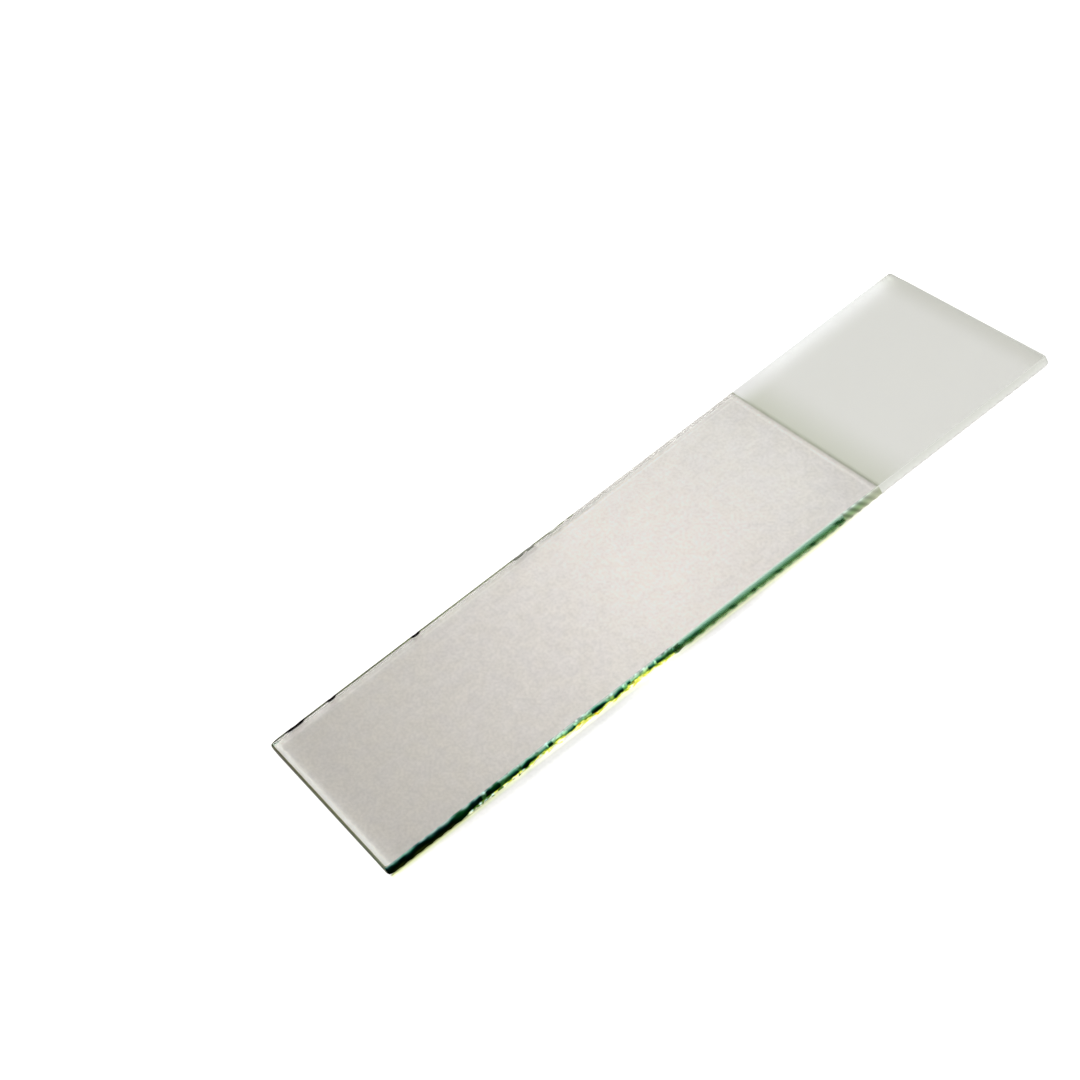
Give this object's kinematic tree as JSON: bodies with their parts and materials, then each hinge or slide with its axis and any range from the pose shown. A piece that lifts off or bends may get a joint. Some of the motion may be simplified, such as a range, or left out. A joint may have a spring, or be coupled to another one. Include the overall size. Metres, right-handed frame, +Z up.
{
  "type": "microscope slide",
  "caption": "Thin rectangular pane of clear glass with snapped long edges and a frosted writing end, which carries a specimen under a microscope.",
  "frame": {"origin": "middle of the underside", "axes": "+X along the length towards the frosted end, +Y across the width, +Z up through the thickness"},
  "size_m": [0.076, 0.026, 0.001],
  "materials": {
    "glass": "polished, with one end frosted"
  },
  "bodies": {
    "root": {"slide": "glass"}
  },
  "joints": []
}
